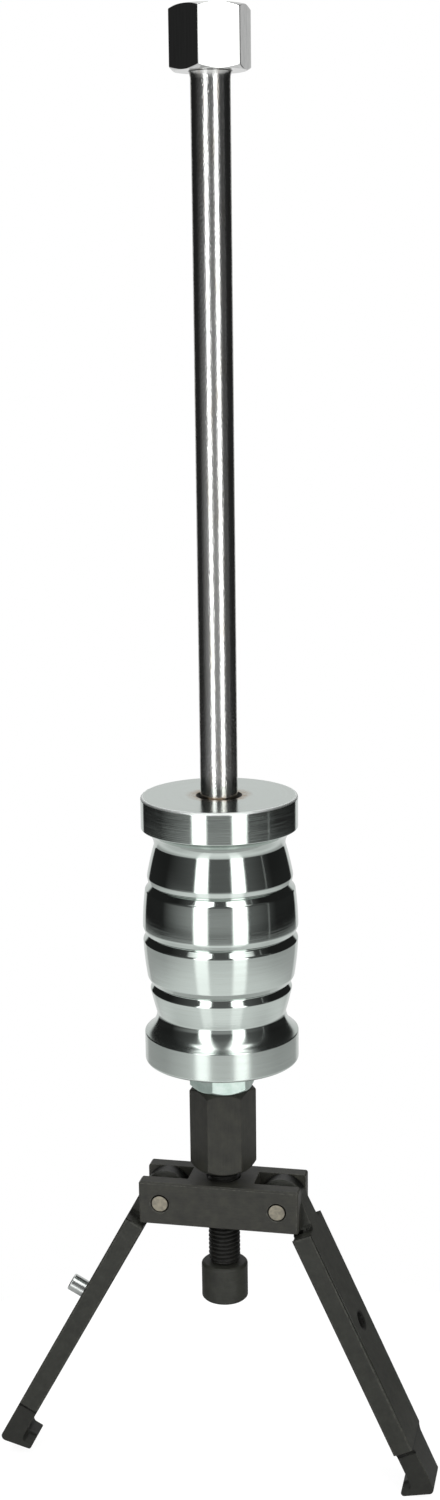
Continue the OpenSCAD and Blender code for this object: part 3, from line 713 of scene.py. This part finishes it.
# Both ends of the thread are chamfered at 45 degrees.
spin_r = np.minimum(spin_r, spindle_core + spin_z - shoulder)
spin_r = np.minimum(spin_r, spindle_core + spindle_high - spin_z)
nose_r, nose_z = rings([
    (0, spindle_low), (NOSE_R - NOSE_BEVEL, spindle_low), (NOSE_R, spindle_low + NOSE_BEVEL),
    (NOSE_R, ring_z - groove_half), (groove_r, ring_z - groove_half),
    (groove_r, ring_z + groove_half), (NOSE_R, ring_z + groove_half),
    (NOSE_R, shoulder), (spindle_core, shoulder)], ROD_COLUMNS + 1)
end_r, end_z = rings([(spindle_core, spindle_high), (0, spindle_high)], ROD_COLUMNS + 1)
spindle_grid = round_axis(np.concatenate([nose_r, spin_r, end_r]),
                          np.concatenate([nose_z, spin_z, end_z]), rod_angle[None, :])
# The thread's colour is painted shade: it lies in the shadow of the block.
painted_shade_oxide = black_oxide("black_oxide_painted_shade", PAINTED_SHADE_TONES, grain=(4, 4, 1), relief_mm=0.01,
                           wear=0.05)
turned_piece("pressure_spindle", spindle_grid, painted_shade_oxide)

# %% [markdown]
# ## The crosshead and the legs
# These are milled and forged blocks, and the CAD solids already have their shapes. A CAD mesh is
# loose triangles, so its copy is welded and its flat triangles are joined to whole faces. Then a
# Bevel modifier rounds each edge a little, and gives that narrow round a material of its own,
# where the black has rubbed off. Building the blocks again from numbers would add nothing.

# %% Copies of CAD solids with broken edges
FLAT, SHARP = math.radians(0.3), math.radians(25)
SEAM, BLOCK_BREAK = 0.01, 0.35


def whole_faces(node):
    """A copy of a CAD node's mesh with its points welded and its flat areas joined."""
    mesh = frame["nodes"][node].data.copy()
    mesh.materials.clear()
    work = bmesh.new()
    work.from_mesh(mesh)
    bmesh.ops.remove_doubles(work, verts=work.verts, dist=WELD)
    bmesh.ops.dissolve_limit(work, angle_limit=FLAT, verts=work.verts, edges=work.edges)
    work.to_mesh(mesh)
    work.free()
    for name in [a.name for a in mesh.attributes if a.name == "custom_normal"]:
        mesh.attributes.remove(mesh.attributes[name])
    return mesh


def break_edges(piece, width_mm, by="ANGLE"):
    """Rounds every edge that turns by more than SHARP, or each by its own weight. The round
    takes the second material, and points that it brings together are joined."""
    modifier = piece.modifiers.new("broken_edges", "BEVEL")
    modifier.width = width_mm * MM
    modifier.segments = 3
    modifier.limit_method = by
    modifier.angle_limit = SHARP
    modifier.use_clamp_overlap = by == "ANGLE"
    modifier.material = 1
    seams = piece.modifiers.new("closed_corners", "WELD")
    seams.merge_threshold = SEAM * MM
    return even_normals(piece)


milled_oxide = black_oxide("black_oxide_milled", NUT_SHADES, grain=(6, 1, 1), relief_mm=0.01)
worn_oxide = black_oxide("black_oxide_worn", NUT_SHADES, relief_mm=0.02, wear=0.3)
break_edges(stand_in(whole_faces("crosshead"), "crosshead",
                     [milled_oxide, worn_oxide]), BLOCK_BREAK)

# %% [markdown]
# ### The legs
# Each leg is a drop forging: its faces are a little uneven from the die, and the scale leaves
# them mottled. Its claw is darker, below a fine line of painted shade in the crease across the
# leg. The long edges are rounder than the block's. A Bevel by angle is held back by the
# shortest edge, and the arcs of the claw are full of short ones. So each long edge gets a
# weight, and the Bevel goes by that.

# %% Mark the long edges
LONG_EDGE = 9.0


def long_edges(mesh):
    """Gives each edge its weight for the Bevel: 1 where it turns by more than SHARP and is
    longer than LONG_EDGE, and 0 elsewhere."""
    work = bmesh.new()
    work.from_mesh(mesh)
    weight = work.edges.layers.float.new("bevel_weight_edge")
    for edge in work.edges:
        turns = edge.calc_face_angle(0) > SHARP
        edge[weight] = 1.0 if turns and edge.calc_length() > LONG_EDGE * MM else 0.0
    print(sum(edge[weight] > 0 for edge in work.edges), "long edges are rounded")
    work.to_mesh(mesh)
    work.free()
    return mesh

# %% [markdown]
# The right leg has a threaded hole in its outer side, with a wide cone at its mouth. The CAD
# hole has a narrow one. It is found by its place and its radius, and bevelled once more. Its
# cone and wall are painted dark, as shade in the recess.

# %% Widen the mouth of a hole
NEAR_PLANE, NEAR_MOUTH = 0.15, 0.1


def countersink(mesh, centre, axis, mouth_r, width):
    """Widens the cone at the mouth of a drilled hole: the circle of edges in the plane of the
    mouth is bevelled, and the cone and the wall take the third material, painted shade for the
    recess. Works in mm."""
    work = bmesh.new()
    work.from_mesh(mesh)
    centre, axis = Vector(centre) * MM, Vector(axis).normalized()
    widest = (mouth_r + NEAR_MOUTH) * MM

    def away(vert):
        """How far a point lies along the hole's axis and out from it."""
        way = vert.co - centre
        along = way.dot(axis)
        return along, (way - along * axis).length

    def on_mouth(vert):
        """Whether a point lies on the mouth's circle."""
        along, out = away(vert)
        return abs(along) < NEAR_PLANE * MM and out < widest

    for face in work.faces:
        if max(away(vert)[1] for vert in face.verts) < widest:
            face.material_index = 2
    mouth = [edge for edge in work.edges if all(on_mouth(vert) for vert in edge.verts)]
    bmesh.ops.bevel(work, geom=mouth, offset=width * MM, offset_type="OFFSET", segments=1,
                    profile=0.5, affect="EDGES", material=2)
    work.to_mesh(mesh)
    work.free()
    print("The hole's mouth had", len(mouth), "edges")
    return mesh

# %% Make the legs
LEFT_SPLAY, RIGHT_SPLAY = math.radians(28.4), math.radians(24.3)
PIN_X, CLAW_DROP, LEG_BREAK = 33.0, 157.0, 0.7
EYE_R, HEEL_GROWTH, LEG_LEN = 12.5, 0.5, 188.1
HOLE_DROP, HOLE_R, HOLE_BEVEL, COUNTERSINK = 81.3, 4.25, 1.0, 0.9


def forged_oxide(name, splay, turn):
    """Black oxide of a leg, with its grain along the leg and its claw darker."""
    return black_oxide(name, LEG_TONES_PAINTED_DARKER, grain=(2, 2, 3), turn=(0, turn, 0), relief_mm=0.03,
                       claw_mm=-CLAW_DROP - PIN_X * math.sin(splay))


left_oxide = forged_oxide("black_oxide_left_leg", LEFT_SPLAY, LEFT_SPLAY)
right_oxide = forged_oxide("black_oxide_right_leg", RIGHT_SPLAY, -RIGHT_SPLAY)
edge_oxide = black_oxide("black_oxide_leg_edge", LEG_TONES_PAINTED_DARKER, relief_mm=0.02, wear=0.22)
break_edges(stand_in(long_edges(whole_faces("left_leg")), "left_leg",
                     [left_oxide, edge_oxide]), LEG_BREAK, by="WEIGHT")
outward = (math.cos(RIGHT_SPLAY), 0, math.sin(RIGHT_SPLAY))
hole_out = EYE_R + HEEL_GROWTH * HOLE_DROP / LEG_LEN
mouth_at = (PIN_X + hole_out * outward[0] + HOLE_DROP * outward[2], 0,
            hole_out * outward[2] - HOLE_DROP * outward[0])
# The hole's cone and wall take the dark oxide that paints shade into the recess.
right_mesh = countersink(whole_faces("right_leg"), mouth_at, outward, HOLE_R + HOLE_BEVEL, COUNTERSINK)
break_edges(stand_in(long_edges(right_mesh), "right_leg",
                     [right_oxide, edge_oxide, painted_shade_oxide]), LEG_BREAK, by="WEIGHT")

# %% [markdown]
# ## Pins and stud
# The pivot pins are ground and driven flush into the block. The stud screws into the left leg
# from outside. Both are turned, so each is an outline carried round its own axis: the pins'
# axis lies along Y, and the stud's is square to the leg.

# %% Steel of the pins
def ground_pin(name, axis_x):
    """Ground steel pin end: a dull warm metal with rings round the pin's own axis, and a painted
    shadow round its edge, where it meets the block."""
    finish, tree, place = new_finish(name)
    ring_mm, blot_mm, shade_from, shade_to = 0.45, 2, 4.35, 4.55
    centred = add(tree, "Mapping", {"Vector": place, "Location": (-axis_x * MM, 0, 0)})
    part = add(tree, "SeparateXYZ", {0: centred})
    flat = add(tree, "CombineXYZ", {0: part, 1: part.outputs[2]})
    radius = add(tree, "VectorMath", {0: flat}, operation="LENGTH").outputs["Value"]
    ring = add(tree, "Math", {0: radius, 1: ring_mm * MM}, operation="DIVIDE")
    marks = add(tree, "TexNoise", {"W": ring, "Scale": 1.0, "Detail": 3.0}, noise_dimensions="1D")
    blot = add(tree, "TexNoise", {"Vector": place, "Scale": 1 / (blot_mm * MM), "Detail": 4.0})
    tint = colour_steps(add(tree, "ValToRGB", {"Fac": blot}), [(0.35, "#78746a"), (0.65, "#918c7d")])
    # Painted shade: a dark ring round the pin's edge, for the shadow in the gap to the block.
    rim_shade = add(tree, "MapRange", {"Value": radius, "From Min": shade_from * MM, "From Max": shade_to * MM})
    colour = add(tree, "Mix", {0: rim_shade, 6: tint, 7: srgb("#1b1a17")}, data_type="RGBA").outputs[2]
    rough = add(tree, "MapRange", {"Value": blot, "To Min": 0.3, "To Max": 0.42})
    return end_metal(finish, colour, rough, marks, relief_mm=0.012)

# %% Make the pins
PIN_R, PIN_HALF, PIN_BEVEL, PIN_ROUND = 5.0, 17.0, 0.5, 0.25
PIN_COLUMNS = 72


def pin_grid(axis_x):
    """A turned pin laid along Y: the lathe's height becomes y, and its plane becomes x and z."""
    corners = np.array([[0, -PIN_HALF], [PIN_R - PIN_BEVEL, -PIN_HALF], [PIN_R, PIN_BEVEL - PIN_HALF],
                        [PIN_R, PIN_HALF - PIN_BEVEL], [PIN_R - PIN_BEVEL, PIN_HALF], [0, PIN_HALF]])
    outline = soften(corners, PIN_ROUND * np.array([0, 1, 1, 1, 1, 0]), steps=3)
    upright = lathe(outline, PIN_COLUMNS)
    return np.stack([upright[..., 0] + axis_x, upright[..., 2], upright[..., 1]], axis=-1)


for side_name, pin_x in (("left", -PIN_X), ("right", PIN_X)):
    turned_piece(side_name + "_pivot_pin", pin_grid(pin_x),
                 ground_pin("ground_pin_" + side_name, pin_x))

# %% [markdown]
# The stud's outline starts inside the leg, at the end of its core. On its way out it widens to
# the stud's own radius, at the leg's outer side, and its end is a little rounded.

# %% Make the stud
LEG_T = 11.5
STUD_R, STUD_OUT, STUD_DROP, STUD_CORE, STUD_BEVEL = 5.0, 9.2, 80.2, 4.24, 0.6
STUD_ROUNDS = np.array([0, 0.2, 0.2, 0.1, 0.35, 0.35, 0])
STUD_FROM = EYE_R + HEEL_GROWTH * STUD_DROP / LEG_LEN
stud_corners = np.array([[0, -LEG_T], [STUD_CORE, -LEG_T], [STUD_CORE, STUD_CORE - STUD_R],
                         [STUD_R, 0], [STUD_R, STUD_OUT - STUD_BEVEL],
                         [STUD_R - STUD_BEVEL, STUD_OUT], [0, STUD_OUT]])
stud_upright = lathe(soften(stud_corners, STUD_ROUNDS), PIN_COLUMNS)
out = STUD_FROM + stud_upright[..., 2]
down = STUD_DROP + stud_upright[..., 0]
stud_x = -PIN_X - out * math.cos(LEFT_SPLAY) - down * math.sin(LEFT_SPLAY)
stud_z = out * math.sin(LEFT_SPLAY) - down * math.cos(LEFT_SPLAY)
stud_grid = np.stack([stud_x, stud_upright[..., 1], stud_z], axis=-1)
stud_zinc = zinc_plate("zinc_stud", "#c2c6c4", "#dcdfdd", 0.18, 0.3)
turned_piece("leg_stud", stud_grid, stud_zinc)

# %% [markdown]
# ## The pressure cap
# The cap turns freely on the spindle's nose, so that it stands still on the shaft while the
# spindle turns. It is bored for the nose and for a steel ball that takes the thrust, and a wire
# ring in a groove holds it on. The ball and the ring are the CAD solids with their own finish.

# %% Make the cap
CAP_R, CAP_BEVEL = 13.0, 1.2
CAP_ROUNDS = np.array([0, 0.5, 0.5, 0.5, 0.5, 0.3] + [0] * 8)
BALL_R, BALL_GAP = 4.0, 0.1
nose_end = spindle_low - GAP
ball_end = spindle_low - 2 * BALL_R - BALL_GAP
wire_half = WIRE / 2 + TURN_FIT
hole_r = NOSE_R + TURN_FIT
cap_corners = np.array([
    [0, cap_low], [CAP_R - CAP_BEVEL, cap_low], [CAP_R, cap_low + CAP_BEVEL],
    [CAP_R, cap_high - CAP_BEVEL], [CAP_R - CAP_BEVEL, cap_high], [hole_r, cap_high],
    [hole_r, ring_z + wire_half], [hole_r + wire_half, ring_z + wire_half],
    [hole_r + wire_half, ring_z - wire_half], [hole_r, ring_z - wire_half],
    [hole_r, nose_end], [BALL_R + TURN_FIT, nose_end], [BALL_R + TURN_FIT, ball_end], [0, ball_end]])
cap_grid = lathe(soften(cap_corners, CAP_ROUNDS), ROD_COLUMNS)
cap_oxide = black_oxide("black_oxide_cap", LEG_TONES_PAINTED_DARKER, grain=(5, 5, 1), relief_mm=0.012)
turned_piece("pressure_cap", cap_grid, cap_oxide)

# %% Finish the ball and the wire ring
for node, finish in (("thrust_ball", zinc_plate("hard_ball", "#c8c9c9", "#dededf", 0.05, 0.1)),
                     ("cap_retaining_ring", zinc_plate("spring_wire", "#7f8284", "#9da0a2", 0.25, 0.4))):
    slots = frame["nodes"][node].material_slots
    for slot in slots:
        slot.material = finish
    print(node, "has", len(slots), "material slot")

# %% [markdown]
# ## The studio
# Bright metal shows nothing but its room, so the room is designed like one for product
# photography: two tall soft lights a little left and right of the camera, grey between them and
# dark boards at the sides that draw the edges. Below is a pale table, and behind the object a
# pale wall. It is all in the world, as a level of grey for each direction. One ring of levels
# describes the room at one height, and the rings are stacked with soft borders. The room lights
# the object and shows in its metal, but the camera sees plain white behind the object.

# %% Rings of light
PALE, DARK = 0.76, 0.018
BOX = 2.8


def ring(far, left, middle, right, box, back=PALE, reach=40):
    """Pairs of azimuth and level all round at one height. The camera is at 0 degrees, and the
    picture's left is below 0. Two boxes of light run from 19 degrees out to their reach, with
    the middle level between them. Beside them it goes over from the left and right level to the
    far one, and past 150 degrees is the wall behind the object."""
    return [(-180, back), (-150, back), (-146, far), (-95, far), (-reach - 1, left), (-reach + 1, box),
            (-20.5, box), (-18.5, middle), (17.5, middle), (19.5, box), (reach - 1.5, box),
            (reach + 1, right), (90, far), (146, far), (150, back), (180, back)]


table_near = ring(0.66, 0.90, 0.98, 0.90, 1.2)
table_far = ring(0.80, 0.94, 0.90, 0.86, 1.4)
table_edge = ring(0.44, 0.76, 0.72, 0.60, 1.6)
low_wall = ring(DARK, 0.20, 0.22, 0.10, BOX)
middle_wall = ring(0.022, 0.38, 0.38, 0.18, BOX)
high_wall = ring(DARK, 0.11, 0.13, 0.12, BOX)
upper_wall = ring(DARK, 0.10, 0.10, 0.12, BOX, back=1.3, reach=65)
# Each ring comes with the angles of height between which it takes over from the one below.
RINGS = [(table_near, None), (table_far, (-46, -33)), (table_edge, (-33, -20)),
         (low_wall, (-18, -14.4)), (middle_wall, (-13, -9)), (high_wall, (-5, 5)),
         (upper_wall, (45, 60))]
print("The room has", len(RINGS), "rings of", len(table_near), "levels")

# %% [markdown]
# Near the zenith all azimuths run together, so the ceiling is measured by how far a direction
# leans to the left or right. Two long lights hang there, with a dark strip between them. Far
# out on the right, one narrow grey strip stands in the dark and gives the rod a faint line.

# %% Room of light
CAMERA_AZIMUTH = math.atan2(CAMERA_AT.y, CAMERA_AT.x)
CEILING = [(0, 0.07), (0.11, 0.07), (0.15, BOX), (0.50, BOX), (0.70, 0.10), (1, 0.02)]
CEILING_RISE = (66, 78)
STRIP, STRIP_AT, STRIP_HALF = 0.4, math.radians(76), math.radians(0.6)


def over(tree, height, rise, below, above):
    """One colour below, another above, and a smooth change between two angles of height."""
    start, end = (math.sin(math.radians(angle)) for angle in rise)
    up = add(tree, "MapRange", {"Value": height, "From Min": start, "From Max": end},
             interpolation_type="SMOOTHSTEP")
    return add(tree, "Mix", {0: up, 6: below, 7: above}, data_type="RGBA").outputs[2]


def studio_room():
    """A world whose colour depends on the direction: its azimuth from the camera, the sine of
    its height, and its lean, which is its part to the side over its part upwards."""
    world = bpy.data.worlds.new("studio_room")
    world.use_nodes = True
    tree = world.node_tree
    tree.nodes.clear()
    way = add(tree, "TexCoord").outputs["Generated"]
    facing = add(tree, "VectorRotate", {"Vector": way, "Angle": -CAMERA_AZIMUTH}, rotation_type="Z_AXIS")
    part = add(tree, "SeparateXYZ", {0: facing})
    aside, up = part.outputs[1], part.outputs[2]
    azimuth = add(tree, "Math", {0: aside, 1: part}, operation="ARCTAN2")
    place = add(tree, "MapRange", {"Value": azimuth, "From Min": -math.pi, "From Max": math.pi})
    room = None
    for levels, rise in RINGS:
        steps = [((degrees + 180) / 360, level) for degrees, level in levels]
        level_here = colour_steps(add(tree, "ValToRGB", {"Fac": place}), steps)
        room = over(tree, up, rise, room, level_here) if rise else level_here
    off_middle = add(tree, "Math", {0: aside}, operation="ABSOLUTE")
    lean = add(tree, "Math", {0: off_middle, 1: up}, operation="DIVIDE")
    ceiling = colour_steps(add(tree, "ValToRGB", {"Fac": lean}), CEILING)
    room = over(tree, up, CEILING_RISE, room, ceiling)
    in_strip = add(tree, "Math", {0: azimuth, 1: STRIP_AT, 2: STRIP_HALF}, operation="COMPARE")
    strip = add(tree, "Math", {0: in_strip, 1: STRIP}, operation="MULTIPLY")
    room = add(tree, "Mix", {0: 1.0, 6: room, 7: strip}, data_type="RGBA",
               blend_type="LIGHTEN").outputs[2]
    lit = add(tree, "Background", {"Color": room})
    plain = add(tree, "Background", {"Color": srgb("#ffffff")})
    ray = add(tree, "LightPath")
    seen = add(tree, "Math", {0: ray.outputs["Is Camera Ray"], 1: ray.outputs["Is Transmission Ray"]},
               operation="MAXIMUM")
    add(tree, "OutputWorld", {"Surface": add(tree, "MixShader", {0: seen, 1: lit, 2: plain})})
    return world


bpy.context.scene.world = studio_room()

# %% [markdown]
# ### The floor
# The floor is a pale disc under the claws. It glows just enough to reach white in the picture,
# and the rest is plain matt paint, so the object's soft shadow still darkens it. A mirror sees
# a weaker glow, because so much white from below would flatten the weight and the nuts.

# %% Floor
FLOOR_R, FLOOR_GAP, FLOOR_RINGS, FLOOR_SPOKES = 260, 0.05, 12, 96
CAMERA_GLOW, MIRROR_GLOW, GLOW_SHARE = 1.15, 0.45, 0.8


def pale_floor():
    """Matt pale floor with fine grain, mixed with a glow for rays that show it: those of the
    camera, of mirrors and of glass."""
    finish, tree, place = new_finish("pale_floor")
    grain_mm = 10 / 3
    grain = add(tree, "TexNoise", {"Vector": place, "Scale": 1 / (grain_mm * MM), "Detail": 3.0})
    tint = colour_steps(add(tree, "ValToRGB", {"Fac": grain}), [(0.3, "#ececeb"), (0.7, "#f0f0ef")])
    matt = add(tree, "BsdfDiffuse", {"Color": tint})
    ray = add(tree, "LightPath")
    mirrored = ray.outputs["Is Glossy Ray"]
    level = add(tree, "MapRange", {"Value": mirrored, "To Min": CAMERA_GLOW, "To Max": MIRROR_GLOW})
    glow = add(tree, "Emission", {"Color": srgb("#ffffff"), "Strength": level})
    seen = ray.outputs["Is Camera Ray"]
    for other in (mirrored, ray.outputs["Is Transmission Ray"]):
        seen = add(tree, "Math", {0: seen, 1: other}, operation="MAXIMUM")
    share = add(tree, "Math", {0: seen, 1: GLOW_SHARE}, operation="MULTIPLY")
    add(tree, "OutputMaterial", {"Surface": add(tree, "MixShader", {0: share, 1: matt, 2: glow})})
    return finish


floor_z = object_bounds()[0].z / MM - FLOOR_GAP
floor_r = np.linspace(0, FLOOR_R, FLOOR_RINGS + 1)[:, None]
floor_angle = np.linspace(0, 2 * np.pi, FLOOR_SPOKES + 1)[None, :]
floor_mesh = surface("floor", round_axis(floor_r, floor_z, floor_angle))
floor_mesh.materials.append(pale_floor())
floor = bpy.data.objects.new("floor", floor_mesh)
bpy.context.scene.collection.objects.link(floor)
print("The floor lies at", round(floor_z, 2), "mm")

# %% [markdown]
# ### The lamps
# The room alone would leave the black pieces flat. A large soft lamp above and in front models
# their tops, and one on the right lights the faces that turn that way, as in the photograph.
# Both are wide enough to cast no hard shadow. Mirrors don't see them: what the bright metal
# shows is the room's business alone.

# %% Lamps
OBJECT_MIDDLE = Vector((0, 0, 0.2))


def soft_lamp(name, at, size, watts):
    """A square lamp at a place in metres, turned to the middle of the object, which lights
    surfaces and isn't mirrored in them."""
    data = bpy.data.lights.new(name, "AREA")
    data.shape = "RECTANGLE"
    data.size, data.size_y = size, size
    data.energy = watts
    lamp = bpy.data.objects.new(name, data)
    lamp.location = at
    aim = OBJECT_MIDDLE - lamp.location
    lamp.rotation_euler = aim.to_track_quat("-Z", "Y").to_euler()
    lamp.visible_glossy = False
    bpy.context.scene.collection.objects.link(lamp)
    print(name, "is", round(aim.length, 2), "m from the object")


soft_lamp("top_lamp", Vector((-0.5, -1.2, 2.4)), 1.6, 8)
soft_lamp("side_lamp", Vector((1.6, -0.8, 1.2)), 1.2, 13)

# %% [markdown]
# Colours are shown as they are, with no film look.

# %% Settings
view = bpy.context.scene.view_settings
view.view_transform = "Standard"
